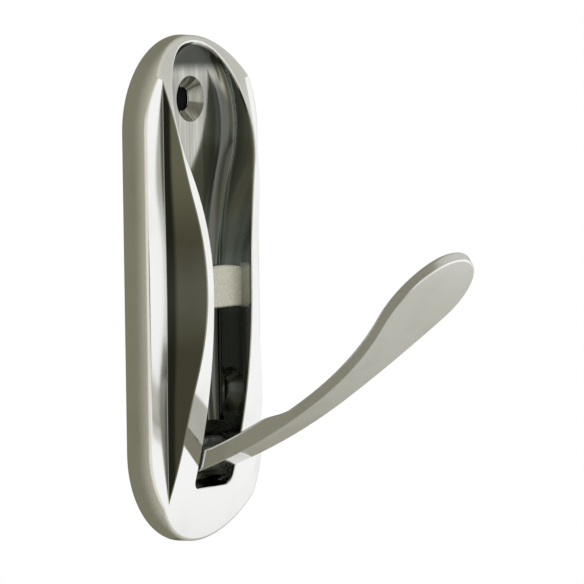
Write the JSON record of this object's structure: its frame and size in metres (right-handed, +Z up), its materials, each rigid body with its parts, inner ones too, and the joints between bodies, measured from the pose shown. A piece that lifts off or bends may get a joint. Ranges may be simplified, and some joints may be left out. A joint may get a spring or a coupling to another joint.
{
  "type": "folding wall hook",
  "caption": "Chrome wall hook: a crowned stadium plate with scooped sides, and a spoon-shaped arm that swings out on a pin to hold a garment and folds back flush into its recess.",
  "frame": {"origin": "centre of the plate's flat back face, on the wall plane", "axes": "+Z up along the plate's length, +Y into the wall, so the front faces -Y, and X across the plate"},
  "size_m": [0.036, 0.0617, 0.095],
  "materials": {
    "housing_chrome": "polished chrome plate on a zinc casting",
    "arm_chrome": "polished chrome plate on a zinc casting",
    "pin_steel": "ground steel",
    "washer_steel": "rolled spring steel"
  },
  "bodies": {
    "plate": {"base_housing": "housing_chrome", "hinge_pin": "pin_steel", "spring_washers": "washer_steel"},
    "arm": {"hook_arm": "arm_chrome"}
  },
  "joints": [
    {"name": "arm_fold", "type": "hinge", "parent": "plate", "child": "arm", "pos_m": [0, -0.0034, -0.03], "axis": [-1, 0, 0], "range_deg": [0, 56]}
  ]
}
